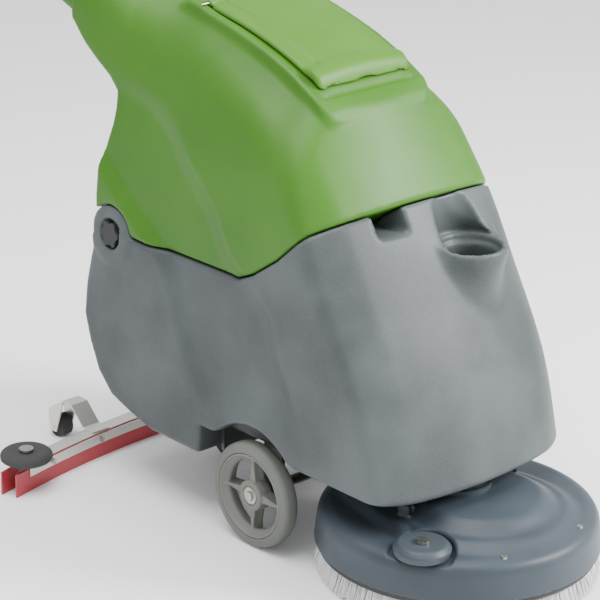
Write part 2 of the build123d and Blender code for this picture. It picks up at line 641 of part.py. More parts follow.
# ---- deck lift: arms, rod and pedal ------------------------------------------------------------------
rod_z = arm_pivot_z - 40
arm_side = [(arm_pivot_y, arm_pivot_z + 12), (arm_pivot_y, arm_pivot_z - 10), (deck_y, deck_pin_z - 8), (deck_y, deck_pin_z + 9)]
with BuildPart() as deck_arms:
    for side in (-1, 1):
        low, high = sorted((side * arm_x, side * (arm_x + 8)))
        add(side_slab(arm_side, low, high))
        add(bar_x(16, low, high, arm_pivot_y, arm_pivot_z))
        add(bar_x(11, low, high, deck_y, deck_pin_z))
    add(bar_x(8, -arm_x - 2, arm_x + 2, -205, 154))
    lug = [(arm_pivot_y - 7, arm_pivot_z), (arm_pivot_y + 7, arm_pivot_z), (arm_pivot_y + 7, rod_z - 7)]
    add(side_slab(lug + [(arm_pivot_y - 7, rod_z - 7)], arm_x, arm_x + 8))
    add(bar_x(shaft_radius + running, -150, 150, arm_pivot_y, arm_pivot_z), mode=Mode.SUBTRACT)
    add(bar_x(5 + running, -150, 150, deck_y, deck_pin_z), mode=Mode.SUBTRACT)
    add(bar_x(4 + running, arm_x - 1, arm_x + 9, arm_pivot_y, rod_z), mode=Mode.SUBTRACT)
save(deck_arms.part, "deck_arms")

rod_x = arm_x + 10
with BuildPart() as deck_rod:
    add(block(rod_x, rod_x + 6, arm_pivot_y, pedal_y, rod_z - 4, rod_z + 4))
    add(bar_x(8, rod_x, rod_x + 6, arm_pivot_y, rod_z))
    add(bar_x(8, rod_x, rod_x + 6, pedal_y, rod_z))
    add(bar_x(4, arm_x - 1, rod_x + 3, arm_pivot_y, rod_z))
    add(bar_x(4.7, rod_x - 1, rod_x + 7, pedal_y, rod_z), mode=Mode.SUBTRACT)
save(deck_rod.part, "deck_rod")

pedal_x = rod_x + 8
pedal_tip_y, pedal_tip_z = 440.0, 172.0
pedal_side = [(pedal_y - 6, pedal_z + 7), (pedal_y + 2, pedal_z - 8), (pedal_tip_y + 12, pedal_tip_z - 12)]
with BuildPart() as deck_pedal:
    add(side_slab(pedal_side + [(pedal_tip_y + 12, pedal_tip_z), (pedal_tip_y - 14, pedal_tip_z)], pedal_x, pedal_x + 8))
    add(bar_x(9, pedal_x, pedal_x + 8, pedal_y, pedal_z))
    add(bar_x(8, pedal_x, pedal_x + 8, pedal_y, rod_z))
    add(bar_x(4, rod_x, pedal_x + 2, pedal_y, rod_z))
    add(bar_x(5 - running, pedal_x + 6, 158, pedal_y, pedal_z))
    add(block(pedal_x - 20, pedal_x + 30, pedal_tip_y - 14, pedal_tip_y + 24, pedal_tip_z - 4, pedal_tip_z))
save(deck_pedal.part, "deck_pedal")
save(block(pedal_x - 20, pedal_x + 30, pedal_tip_y - 14, pedal_tip_y + 24, pedal_tip_z, pedal_tip_z + 5), "pedal_pad")

# ---- squeegee ------------------------------------------------------------------------------------------
def curved_bar(half, near, far, z_from, z_to):
    """A bar that follows the squeegee's curve, between two distances behind its centre line."""
    centre = blade_y - blade_bow
    with BuildPart() as bar:
        with BuildSketch(Plane.XY.offset(z_from)):
            with BuildLine():
                spots = []
                for radius, reach in ((blade_bow + near, half), (blade_bow + far, half)):
                    drop = (radius ** 2 - reach ** 2) ** 0.5
                    spots.append(((-reach, centre + drop), (0, centre + radius), (reach, centre + drop)))
                ThreePointArc(*spots[0])
                Line(spots[0][2], spots[1][2])
                ThreePointArc(*spots[1][::-1])
                Line(spots[1][0], spots[0][0])
            make_face()
        extrude(amount=z_to - z_from)
    return bar.part


def blade_place(x):
    """Where the squeegee's centre line is, at a distance x from its middle."""
    return blade_y - blade_bow + (blade_bow ** 2 - x ** 2) ** 0.5


swing_y = blade_place(0)
disc_y = blade_place(disc_x)
spigot_x = 75.0
bracket_at = 190.0
with BuildPart() as squeegee_channel:
    add(curved_bar(channel_half, -14, 14, 16, channel_top))
    add(curved_bar(channel_half - 6, -9, 9, 10, channel_top - 6), mode=Mode.SUBTRACT)
    add(post_z(spigot_bore, channel_top - 10, channel_top + 1, spigot_x, blade_place(spigot_x)), mode=Mode.SUBTRACT)
    add(post_z(8, channel_top - 6, channel_top + 20, 0, swing_y))
    for side in (-1, 1):
        add(post_z(8, channel_top - 6, channel_top + 26, side * disc_x, disc_y))
save(squeegee_channel.part, "squeegee_channel")
save(curved_bar(blade_half, 14, 18, 0, 46), "rear_blade")
save(curved_bar(blade_half - 12, -18, -14, 0, 46), "front_blade")

with BuildPart() as blade_straps:
    add(curved_bar(channel_half - 5, 18, 20, 30, 48))
    add(curved_bar(channel_half - 5, -20, -18, 30, 48))
save(blade_straps.part, "blade_straps")

with BuildPart() as squeegee_bolts:
    for x in (-330, -198, -66, 66, 198, 330):
        y = blade_place(x)
        for face, turn in ((y - 20, 6), (y + 20, -6)):
            with BuildSketch(Plane.XZ.offset(-face)):
                with Locations((x, 39)):
                    Circle(5)
            extrude(amount=turn)
    for side in (-1, 1):
        add(post_z(14, channel_top + 26, channel_top + 30, side * disc_x, disc_y))
    add(post_z(13, channel_top + 20, channel_top + 24, 0, swing_y))
    add(curved_bar(channel_half, -20, 20, 30, 48), mode=Mode.SUBTRACT)
save(squeegee_bolts.part, "squeegee_bolts")

with BuildPart() as squeegee_spigot:
    x, y = spigot_x, blade_place(spigot_x)
    add(post_z(24, channel_top, channel_top + 5, x, y))
    add(post_z(spigot_radius, channel_top, channel_top + 55, x, y))
    add(post_z(spigot_bore, channel_top - 1, channel_top + 60, x, y), mode=Mode.SUBTRACT)
save(squeegee_spigot.part, "squeegee_spigot")

for name, side in (("right", -1), ("left", 1)):
    with BuildPart() as end_disc:
        add(post_z(disc_radius, channel_top + 5, channel_top + 25, side * disc_x, disc_y))
        fillet(end_disc.edges(), 5)
        add(post_z(8 + running, 0, 200, side * disc_x, disc_y), mode=Mode.SUBTRACT)
    save(end_disc.part, "end_disc_" + name)

support_radius = 22.0
support_y = blade_y + 107.0
bracket_half = 20.0
sheet = 3.0                 # thickness of the folded brackets
bracket_top = channel_top + 38
with BuildPart() as squeegee_brackets:
    foot_y = blade_place(bracket_at)
    arch = [(foot_y - 12, channel_top), (foot_y + 22, channel_top), (foot_y + 58, bracket_top - sheet)]
    arch += [(support_y - 32, bracket_top - sheet), (support_y + 14, bracket_top - 34)]
    arch += [(support_y + 16, bracket_top - 31), (support_y - 31, bracket_top), (foot_y + 57, bracket_top)]
    arch += [(foot_y + 20, channel_top + sheet), (foot_y - 12, channel_top + sheet)]
    cheek = [(support_y - 32, bracket_top - sheet), (support_y + 14, bracket_top - 34)]
    cheek += [(support_y + 12, support_radius - 9), (support_y - 9, support_radius - 9)]
    for side in (-1, 1):
        x = side * bracket_at
        add(side_slab(arch, x - bracket_half, x + bracket_half))
        for edge in (x - bracket_half, x + bracket_half - sheet):
            add(side_slab(cheek, edge, edge + sheet))
        add(bar_x(4, x - bracket_half - 2, x + bracket_half + 2, support_y, support_radius))
save(squeegee_brackets.part, "squeegee_brackets")

support_half = bracket_half - sheet - 1.5
for name, side in (("right", -1), ("left", 1)):
    x = side * bracket_at
    with BuildPart() as support:
        add(bar_x(support_radius, x - support_half, x + support_half, support_y, support_radius))
        fillet(support.edges(), 4)
        add(bar_x(4 + running, x - bracket_half, x + bracket_half, support_y, support_radius), mode=Mode.SUBTRACT)
    save(support.part, "support_roller_" + name)

arm_low = channel_top + 4
arm_profile = [
    (squeegee_pin_y - 9, squeegee_pin_z - 8), (squeegee_pin_y + 6, squeegee_pin_z + 11), (400, 102), (440, arm_low + 14),
    (swing_y + 12, arm_low + 14), (swing_y + 12, arm_low), (430, arm_low), (385, 84),
]
with BuildPart() as squeegee_arm:
    add(side_slab(arm_profile, -14, 14))
    add(bar_x(12, -14, 14, squeegee_pin_y, squeegee_pin_z))
    add(bar_x(6 + running, -15, 15, squeegee_pin_y, squeegee_pin_z), mode=Mode.SUBTRACT)
    add(post_z(8 + running, 0, 200, 0, swing_y), mode=Mode.SUBTRACT)
save(squeegee_arm.part, "squeegee_arm")

with BuildPart() as squeegee_lever:
    add(bar_x(9, lever_x - 5, lever_x + 5, lever_y, lever_z))
    add(block(lever_x - 5, lever_x + 5, lever_y - 5, lever_y + 5, lever_z, lever_z + 62))
    with Locations((lever_x, lever_y, lever_z + 70)):
        Sphere(13)
    add(bar_x(4 + running, lever_x - 8, lever_x + 8, lever_y, lever_z), mode=Mode.SUBTRACT)
save(squeegee_lever.part, "squeegee_lever")
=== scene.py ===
# %% [markdown]
# # A walk-behind floor scrubber
# The frame comes first: every rigid part at its real size and place, in metres. Each later cell dresses
# one piece of it. The big plastic shells are rotomoulded on the real machine, so their walls are smooth and
# every edge is rounded. They are made here from distance functions, which round edges by themselves.

# %% Load the frame
import bpy
import math
import numpy as np
from mathutils import Matrix, Vector


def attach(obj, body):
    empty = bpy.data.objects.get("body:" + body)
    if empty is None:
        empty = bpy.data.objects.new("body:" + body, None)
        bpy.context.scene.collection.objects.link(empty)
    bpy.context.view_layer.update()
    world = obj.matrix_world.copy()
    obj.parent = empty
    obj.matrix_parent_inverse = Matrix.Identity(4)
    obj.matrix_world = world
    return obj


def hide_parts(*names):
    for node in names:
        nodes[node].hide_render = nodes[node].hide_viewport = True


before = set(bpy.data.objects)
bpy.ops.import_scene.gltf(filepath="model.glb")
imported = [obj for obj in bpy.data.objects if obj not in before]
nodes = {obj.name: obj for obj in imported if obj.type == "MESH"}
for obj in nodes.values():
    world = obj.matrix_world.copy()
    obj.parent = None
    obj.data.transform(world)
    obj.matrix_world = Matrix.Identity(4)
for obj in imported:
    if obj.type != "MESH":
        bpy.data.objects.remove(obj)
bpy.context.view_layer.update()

MM = 0.001

# %% [markdown]
# ## Camera, floor and light
# The camera stands in front of the machine, a little above it, on a long lens. The light is what a small
# product studio has: a strong soft box from the front right, a wide one above, a weak one at the left and a
# pale room.

# %% Camera
azimuth = math.radians(-42.78)
elevation = math.radians(20.94)
roll = math.radians(0.78)
distance = 4.287
aim = Vector((-0.1188, -0.0506, 0.4500))
level = math.cos(elevation)
towards = Vector((math.sin(azimuth) * level, -math.cos(azimuth) * level, math.sin(elevation)))
camera_data = bpy.data.cameras.new("camera")
camera_data.lens = 144.6
camera_data.sensor_width = 36
camera = bpy.data.objects.new("camera", camera_data)
bpy.context.scene.collection.objects.link(camera)
turn = (-towards).to_track_quat("-Z", "Y").to_matrix().to_4x4()
camera.matrix_world = Matrix.Translation(aim + towards * distance) @ turn @ Matrix.Rotation(roll, 4, "Z")
bpy.context.scene.camera = camera
print("camera at", [round(v, 3) for v in camera.location])


# %% Floor and lights
def keep(name, mesh):
    """Links a mesh as an object at the origin."""
    piece = bpy.data.objects.new(name, mesh)
    bpy.context.scene.collection.objects.link(piece)
    return piece


def mesh_from(name, points, faces, smooth=True):
    """A mesh from points in metres and faces."""
    mesh = bpy.data.meshes.new(name)
    mesh.from_pydata([tuple(p) for p in points], [], [tuple(int(i) for i in f) for f in faces])
    mesh.polygons.foreach_set("use_smooth", [smooth] * len(mesh.polygons))
    mesh.update()
    return mesh


floor_size = 12.0
corners = [(u * floor_size, v * floor_size, 0) for u, v in ((-1, -1), (1, -1), (1, 1), (-1, 1))]
floor = keep("floor", mesh_from("floor", corners, [(0, 1, 2, 3)], False))


def soft_box(name, place, target, size, power):
    """A square area light that looks at a point."""
    data = bpy.data.lights.new(name, "AREA")
    data.size = size
    data.energy = power
    light = bpy.data.objects.new(name, data)
    light.location = place
    light.rotation_euler = (Vector(target) - Vector(place)).to_track_quat("-Z", "Y").to_euler()
    bpy.context.scene.collection.objects.link(light)


soft_box("key", (2.4, -3.0, 2.8), (0, -0.1, 0.45), 1.6, 400)
soft_box("top", (-0.8, 0.0, 4.4), (0, 0, 0.0), 3.2, 240)
soft_box("side", (-3.4, -2.6, 1.7), (0, 0, 0.5), 1.2, 18)
world = bpy.data.worlds.new("room")
world.use_nodes = True
world.node_tree.nodes["Background"].inputs["Color"].default_value = (0.97, 0.98, 1.0, 1)
world.node_tree.nodes["Background"].inputs["Strength"].default_value = 0.95
bpy.context.scene.world = world
print("three lights and a pale room")

# %% [markdown]
# ## Writing materials as sums
# A material is a graph, but its maths reads best as an expression. `Wire` wraps one output of a node, and
# adds a Math node whenever two of them meet. `Graph.node` makes every other kind of node.


# %% Shader helpers
class Wire:
    """One node output that can be added, multiplied and compared."""

    def __init__(self, graph, socket):
        self.graph = graph
        self.socket = socket

    def math(self, operation, other, swap=False):
        pair = (other, self) if swap else (self, other)
        return self.graph.node("ShaderNodeMath", {"operation": operation}, {0: pair[0], 1: pair[1]})

    def __add__(self, other):
        return self.math("ADD", other)

    __radd__ = __add__

    def __sub__(self, other):
        return self.math("SUBTRACT", other)

    def __rsub__(self, other):
        return self.math("SUBTRACT", other, True)

    def __mul__(self, other):
        return self.math("MULTIPLY", other)

    __rmul__ = __mul__

    def between(self, low, high):
        """0 below low, 1 above high and a smooth step between them."""
        settings = {"interpolation_type": "SMOOTHSTEP"}
        return self.graph.node("ShaderNodeMapRange", settings, {0: self, 1: low, 2: high})


class Graph:
    """A new material with one Principled shader."""

    def __init__(self, name):
        self.material = bpy.data.materials.new(name)
        self.material.use_nodes = True
        self.tree = self.material.node_tree
        self.shader = self.tree.nodes["Principled BSDF"]

    def node(self, kind, settings, values, out=0):
        made = self.tree.nodes.new(kind)
        for name, value in settings.items():
            if name == "stops":
                ramp = made.color_ramp
                while len(ramp.elements) < len(value):
                    ramp.elements.new(1.0)
                for element, (place, colour) in zip(ramp.elements, value):
                    element.position = place
                    element.color = colour
            else:
                setattr(made, name, value)
        for socket, value in values.items():
            if isinstance(value, Wire):
                self.tree.links.new(value.socket, made.inputs[socket])
            else:
                made.inputs[socket].default_value = value
        return Wire(self, made.outputs[out])

    def object_place(self, stretch=(1, 1, 1)):
        """Object coordinates, stretched along the axes."""
        place = self.node("ShaderNodeTexCoord", {}, {}, "Object")
        return self.node("ShaderNodeMapping", {}, {"Vector": place, "Scale": stretch})

    def noise(self, scale, detail=2.0, stretch=(1, 1, 1), roughness=0.5):
        place = self.object_place(stretch)
        values = {"Vector": place, "Scale": scale, "Detail": detail, "Roughness": roughness}
        return self.node("ShaderNodeTexNoise", {}, values)

    def blend(self, amount, first, second, kind="MIX"):
        """Mixes two colours."""
        made = self.tree.nodes.new("ShaderNodeMix")
        made.data_type = "RGBA"
        made.blend_type = kind
        pairs = ((made.inputs["Factor"], amount), (made.inputs[6], first), (made.inputs[7], second))
        for socket, value in pairs:
            if isinstance(value, Wire):
                self.tree.links.new(value.socket, socket)
            else:
                socket.default_value = value
        return Wire(self, made.outputs[2])

    def bump(self, height, strength, distance):
        return self.node("ShaderNodeBump", {}, {"Height": height, "Strength": strength, "Distance": distance})

    def finish(self, **values):
        """Sets the shader's sockets, by name with _ for a space."""
        for name, value in values.items():
            socket = self.shader.inputs[name.replace("_", " ")]
            if isinstance(value, Wire):
                self.tree.links.new(value.socket, socket)
            else:
                socket.default_value = value
        return self.material


def colour(red, green, blue):
    """A screen colour, 0 to 255, as linear light."""
    linear = [((v / 255 + 0.055) / 1.055) ** 2.4 if v > 10 else v / 255 / 12.92 for v in (red, green, blue)]
    return (*linear, 1.0)


def edge_highlight(graph):
    """A painted highlight: 1 on sharp convex edges, 0 elsewhere."""
    point = graph.node("ShaderNodeNewGeometry", {}, {}, "Pointiness")
    return point.between(0.52, 0.60)


# %% [markdown]
# ## The finishes
# Rotomoulded polyethylene is never one flat colour: it has a faint cloudiness, a fine speckle from the powder
# it is melted from, and an orange-peel surface. Sharp edges here also get a painted highlight. Each plastic
# here is the same recipe with its own numbers.


# %% Plastics and rubbers
def moulded(name, base, light, speckle, roughness, peel, cloud=0.35, grain=900.0):
    """Moulded plastic: a cloudy colour, a powder speckle, a painted highlight on sharp edges and an
    orange-peel surface.
    """
    g = Graph(name)
    clouds = g.noise(5.0, 3.0).between(0.35, 0.7) * cloud
    dots = g.noise(grain, 1.0).between(0.56, 0.72) * speckle
    # Sharp convex edges are mixed towards the light colour: a painted highlight.
    lit_edges = edge_highlight(g) * 0.35
    tint = g.blend(clouds, base, light)
    tint = g.blend(dots, tint, light)
    tint = g.blend(lit_edges, tint, light)
    fine = g.noise(420.0, 2.0)
    wave = g.noise(60.0, 2.0)
    surface = g.bump(fine + wave * 0.8, peel, 0.0006)
    rough = roughness + g.noise(12.0, 2.0) * 0.10 - dots * 0.1
    return g.finish(Base_Color=tint, Roughness=rough, Normal=surface, Specular_IOR_Level=0.3)


grey_shell = moulded("grey_shell", colour(62, 67, 68), colour(104, 112, 114), 0.40, 0.42, 0.20)
green_shell = moulded("green_shell", colour(56, 104, 20), colour(76, 124, 36), 0.12, 0.42, 0.12)
green_cover = moulded("green_cover", colour(68, 116, 28), colour(90, 136, 48), 0.10, 0.42, 0.12)
deck_shell = moulded("deck_shell", colour(50, 58, 65), colour(74, 84, 91), 0.10, 0.40, 0.10)
bumper_shell = moulded("bumper_shell", colour(52, 59, 65), colour(74, 82, 89), 0.08, 0.42, 0.12)
wheel_shell = moulded("wheel_shell", colour(106, 108, 102), colour(134, 136, 130), 0.10, 0.45, 0.15)
tyre_shell = moulded("tyre_shell", colour(98, 100, 95), colour(124, 126, 120), 0.15, 0.55, 0.20)
black_shell = moulded("black_shell", colour(32, 33, 33), colour(56, 57, 57), 0.15, 0.50, 0.20)
black_rubber = moulded("black_rubber", colour(34, 37, 36), colour(60, 64, 62), 0.20, 0.62, 0.30)
red_rubber = moulded("red_rubber", colour(122, 22, 28), colour(150, 44, 50), 0.10, 0.42, 0.12)
gloss_black = moulded("gloss_black", colour(20, 21, 22), colour(38, 40, 41), 0.05, 0.18, 0.04)
button_green = moulded("button_green", colour(42, 128, 58), colour(80, 160, 92), 0.05, 0.25, 0.05)
button_blue = moulded("button_blue", colour(38, 70, 140), colour(80, 108, 170), 0.05, 0.25, 0.05)
battery_case = moulded("battery_case", colour(38, 39, 42), colour(62, 63, 66), 0.10, 0.55, 0.20)


# %% Metals, paint and bristles
def brushed(name, base, light, roughness, stretch, metal=1.0):
    """Brushed metal: long fine streaks along one axis."""
    g = Graph(name)
    streaks = g.noise(260.0, 3.0, stretch)
    smudge = g.noise(14.0, 3.0).between(0.4, 0.7)
    tint = g.blend(streaks.between(0.3, 0.7) * 0.5, base, light)
    rough = roughness + streaks * 0.14 + smudge * 0.08
    return g.finish(Base_Color=tint, Metallic=metal, Roughness=rough, Normal=g.bump(streaks, 0.12, 0.0003))


stainless = brushed("stainless", colour(132, 127, 118), colour(170, 165, 156), 0.28, (0.06, 1, 1))
zinc = brushed("zinc", colour(160, 158, 150), colour(208, 206, 198), 0.24, (1, 1, 0.15))
lead = brushed("lead", colour(150, 140, 112), colour(190, 180, 150), 0.35, (1, 1, 0.3))


def painted(name, base, light):
    """Powder coat on steel, with a painted highlight on its sharp edges."""
    g = Graph(name)
    # Sharp edges get a painted highlight; the noise adds random tone.
    tint = g.blend(edge_highlight(g) * 0.5 + g.noise(30.0, 3.0).between(0.45, 0.75) * 0.2, base, light)
    rough = 0.38 + g.noise(80.0, 2.0) * 0.12
    return g.finish(Base_Color=tint, Roughness=rough, Normal=g.bump(g.noise(500.0, 1.0), 0.2, 0.0004))


black_paint = painted("black_paint", colour(24, 25, 26), colour(74, 76, 78))


def nylon():
    """White nylon filament, darker towards the root by a painted shade under the deck, with random streaks,
    off-white at the tip.
    """
    g = Graph("nylon")
    place = g.node("ShaderNodeTexCoord", {}, {}, "Object")
    up = g.node("ShaderNodeSeparateXYZ", {}, {"Vector": place}, "Z")
    # Darker towards the roots: a painted shade under the deck. The noise adds random streaks.
    root_shade_and_streaks = up.between(0.005, 0.058) * 0.45 + g.noise(130.0, 2.0, (1, 1, 0.1)).between(0.4, 0.7) * 0.25
    tint = g.blend(root_shade_and_streaks, colour(242, 242, 240), colour(186, 187, 186))
    return g.finish(Base_Color=tint, Roughness=0.5 + root_shade_and_streaks * 0.1)


bristle_nylon = nylon()


def floor_finish():
    """A plain pale floor."""
    g = Graph("floor_finish")
    tint = g.blend(g.noise(1.5, 2.0) * 0.3, colour(250, 250, 250), colour(244, 245, 246))
    return g.finish(Base_Color=tint, Roughness=0.85 + g.noise(8.0, 2.0) * 0.05)


floor.data.materials.append(floor_finish())
print("finishes made:", len(bpy.data.materials))

# %% [markdown]
# ## Dressing the small parts
# A part whose shape is already right keeps its own mesh and only gets a finish.

# %% Finishes for the parts that stay
finish_of = {
    "black_paint": ["chassis_frame", "deck_arms", "deck_pedal", "squeegee_arm", "brush_motor",
                    "vacuum_motor"],
    "zinc": ["wheel_axle", "axle_bolts", "deck_shaft", "hinge_pins", "caster_fork", "caster_axle", "deck_rod",
             "squeegee_lever", "squeegee_bolts", "lid_pin", "key_switch", "deck_screws"],
    "stainless": ["squeegee_channel", "blade_straps", "squeegee_brackets"],
    "lead": ["battery_posts"],
    "battery_case": ["battery_left", "battery_right"],
    "black_shell": ["filler_strainer", "hinge_knobs", "drain_plug", "brush_hub", "brush_block",
                    "squeegee_spigot", "tank_spigots", "float_cage", "water_knob", "deadman_lever"],
    "black_rubber": ["caster_wheel", "pedal_pad", "splash_skirt", "end_disc_left", "end_disc_right",
                     "support_roller_left", "support_roller_right", "handlebar", "lid_gasket"],
    "red_rubber": ["rear_blade", "front_blade"],
    "gloss_black": ["control_panel", "battery_gauge"],
    "button_green": ["brush_button"],
    "button_blue": ["vacuum_button"],
    "wheel_shell": ["wheel_rim_left", "wheel_rim_right"],
    "tyre_shell": ["wheel_tyre_left", "wheel_tyre_right"],
    "bumper_shell": ["bumper_roller"],
    "deck_shell": ["motor_collar", "deck_cover"],
    "grey_shell": ["solution_tank"],
    "green_shell": ["recovery_tank"],
    "green_cover": ["tank_lid"],
    "nylon": ["brush_bristles"],
}
for finish, names in finish_of.items():
    for name in names:
        mesh = nodes[name].data
        mesh.materials.clear()
        mesh.materials.append(bpy.data.materials[finish])
dressed = sum(len(names) for names in finish_of.values())
print("finished nodes:", dressed, "of", len(nodes))

# %% [markdown]
# ## A mesh from a distance function
# A function says how far a point is from the surface, negative inside. `skin` samples it on a grid, puts one
# vertex in each cell the surface crosses, joins them with quads, and pulls each vertex onto the surface.
# `join`, `meet` and `cut` round the edge between two shapes by a radius, as a mould does. From here on the
# shapes are in millimetres, like the frame's own drawings, and `skin` turns them into metres.


# %% Distance helpers
def meet(a, b, radius):
    """Where both shapes are, with the edge between them rounded."""
    h = np.maximum(radius - np.abs(a - b), 0.0) / radius
    return np.maximum(a, b) + h * h * radius * 0.25


def join(a, b, radius):
    """Where either shape is, with a fillet between them."""
    return -meet(-a, -b, radius)


def cut(a, b, radius):
    """The first shape without the second."""
    return meet(a, -b, radius)


def step(low, high, value):
    """A smooth 0 to 1 step."""
    t = np.clip((value - low) / (high - low), 0.0, 1.0)
    return t * t * (3.0 - 2.0 * t)


def line_at(points, value):
    """A smooth line through (place, value) points, read at value."""
    places = np.array([p[0] for p in points], float)
    heights = np.array([p[1] for p in points], float)
    slopes = np.gradient(heights, places)
    i = np.clip(np.searchsorted(places, value) - 1, 0, len(places) - 2)
    span = places[i + 1] - places[i]
    t = np.clip((value - places[i]) / span, 0.0, 1.0)
    curve = (1 + 2 * t) * (1 - t) ** 2 * heights[i] + t * (1 - t) ** 2 * span * slopes[i]
    curve = curve + t * t * (3 - 2 * t) * heights[i + 1] + t * t * (t - 1) * span * slopes[i + 1]
    beyond = np.maximum(value - places[-1], 0) * slopes[-1] + np.minimum(value - places[0], 0) * slopes[0]
    return curve + beyond


def levelled(points, value):
    """1 over the length of the line's normal, which turns a difference along an axis into a distance."""
    rise = (line_at(points, value + 2.0) - line_at(points, value - 2.0)) / 4.0
    return 1.0 / np.sqrt(1.0 + rise * rise)


def outline(points, u, v):
    """The distance to a closed outline of (u, v) points, negative inside."""
    best = None
    crossings = 0
    for (u0, v0), (u1, v1) in zip(points, np.roll(points, -1, 0)):
        du, dv = u1 - u0, v1 - v0
        t = np.clip(((u - u0) * du + (v - v0) * dv) / (du * du + dv * dv + 1e-9), 0.0, 1.0)
        gap = (u - u0 - t * du) ** 2 + (v - v0 - t * dv) ** 2
        best = gap if best is None else np.minimum(best, gap)
        spans = (v0 > v) != (v1 > v)
        crossings = crossings + (spans & (u < u0 + (v - v0) * du / (dv if dv else 1e-9)))
    return np.where(crossings % 2 == 1, -1.0, 1.0) * np.sqrt(best)


def box(x, y, z, x_span, y_span, z_span, radius=4.0):
    """A box with rounded edges, from its three spans."""
    spans = zip((x, y, z), (x_span, y_span, z_span))
    sides = [np.abs(v - sum(span) / 2) - (span[1] - span[0]) / 2 for v, span in spans]
    return meet(meet(sides[0], sides[1], radius), sides[2], radius)


def round_bar(u, v, u0, v0, radius):
    """A round bar with its middle at (u0, v0)."""
    return np.sqrt((u - u0) ** 2 + (v - v0) ** 2) - radius


def gradient(field, spots, reach=0.4):
    """The field's slope at each spot."""
    sides = []
    for axis in range(3):
        offset = np.zeros(3)
        offset[axis] = reach
        sides.append((field(*(spots + offset).T) - field(*(spots - offset).T)) / (2 * reach))
    return np.stack(sides, 1)


def skin(name, field, low, high, pitch, settle=2):
    """The closed mesh where field is zero, between two corners."""
    axes = [np.arange(low[i] - 2.3 * pitch, high[i] + 2.3 * pitch, pitch) for i in range(3)]
    grid = field(axes[0][:, None, None], axes[1][None, :, None], axes[2][None, None, :])
    inside = grid < 0
    offsets = [(i, j, k) for i in (0, 1) for j in (0, 1) for k in (0, 1)]
    cells = tuple(n - 1 for n in grid.shape)
    count = np.zeros(cells, np.int8)
    for i, j, k in offsets:
        count += inside[i:i + cells[0], j:j + cells[1], k:k + cells[2]]
    active = np.argwhere((count > 0) & (count < 8))
    number = np.full(cells, -1, np.int32)
    number[tuple(active.T)] = np.arange(len(active))
    total = np.zeros((len(active), 3))
    hits = np.zeros(len(active))
    for a in offsets:
        for axis in range(3):
            if a[axis]:
                continue
            b = list(a)
            b[axis] = 1
            first = grid[tuple((active + a).T)]
            second = grid[tuple((active + b).T)]
            crossed = (first < 0) != (second < 0)
            t = np.where(crossed, first / np.where(crossed, first - second, 1), 0)
            spot = np.array(a, float)[None, :].repeat(len(active), 0)
            spot[:, axis] += t
            total += spot * crossed[:, None]
            hits += crossed
    spots = (active + total / hits[:, None]) * pitch + np.array([axis[0] for axis in axes])
    faces = []
    for axis in range(3):
        u, v = [(1, 2), (2, 0), (0, 1)][axis]
        here = np.moveaxis(inside, (axis, u, v), (0, 1, 2))
        cell = np.moveaxis(number, (axis, u, v), (0, 1, 2))
        change = np.argwhere(here[:-1, 1:-1, 1:-1] != here[1:, 1:-1, 1:-1])
        a, b, c = change[:, 0], change[:, 1] + 1, change[:, 2] + 1
        quad = np.stack([cell[a, b - 1, c - 1], cell[a, b, c - 1], cell[a, b, c], cell[a, b - 1, c]], 1)
        faces.append(np.where(here[a, b, c][:, None], quad, quad[:, ::-1]))
    faces = np.concatenate(faces)
    for _ in range(settle):
        slope = gradient(field, spots)
        reach = field(*spots.T) / np.maximum((slope ** 2).sum(1), 0.2)
        spots = spots - slope * np.clip(reach, -pitch / 2, pitch / 2)[:, None]
    piece = keep(name, mesh_of(name, spots * MM, faces))
    print(name, "skin:", len(spots), "points,", len(faces), "faces")
    return piece


def mesh_of(name, spots, faces):
    """A smooth mesh from arrays of points in metres and quads."""
    mesh = bpy.data.meshes.new(name)
    mesh.vertices.add(len(spots))
    mesh.vertices.foreach_set("co", np.ascontiguousarray(spots, dtype=np.float32).ravel())
    mesh.loops.add(faces.size)
    mesh.loops.foreach_set("vertex_index", faces.ravel().astype(np.int32))
    mesh.polygons.add(len(faces))
    mesh.polygons.foreach_set("loop_start", np.arange(0, faces.size, 4, dtype=np.int32))
    mesh.polygons.foreach_set("use_smooth", [True] * len(faces))
    mesh.update()
    mesh.validate()
    return mesh


def dress(piece, finish, body, *replaced):
    """Gives a piece its finish, makes it ride a body and puts it in place of frame nodes."""
    piece.data.materials.append(bpy.data.materials[finish])
    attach(piece, body)
    if replaced:
        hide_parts(*replaced)


# %% [markdown]
# ## The shape both tanks share
# The green tank closes onto the grey one, so one hull runs through both: a bowed front with a soft band at
# each corner, flat sides that draw in towards the top, and a shallow valley that sweeps down each side.

# %% Hull
half_width = 235.0
shoulder_x = 185.0
front_line = [(120, -440), (195, -423), (350, -382), (500, -308), (580, -265), (655, -222),
              (740, -172), (805, -130), (1010, 0)]
bow_line = [(120, 0.50), (372, 0.55), (500, 0.60), (655, 0.66), (740, 0.85), (1010, 1.1)]
valley_rear = [(255, 83), (297, 105), (400, 152), (496, 200), (556, 288), (631, 375), (700, 440)]
valley_front = [(252, -173), (365, -111), (464, -66), (528, 20), (611, 80),
                (668, 145), (741, 228), (790, 340)]
valley_depth = 14.0


def side_at(y, z):
    """Half the hull's width."""
    ahead = (line_at(valley_rear, z) - y) * levelled(valley_rear, z)
    behind = (y - line_at(valley_front, z)) * levelled(valley_front, z)
    reach = step(215, 300, z) * (1 - step(740, 860, z))
    valley = valley_depth * step(-20, 14, ahead) * step(-34, 26, behind) * reach
    drawn = 0.00042 * np.maximum(z - 520, 0) ** 2
    return half_width - drawn * (1 - 0.75 * step(240, 440, y)) - valley


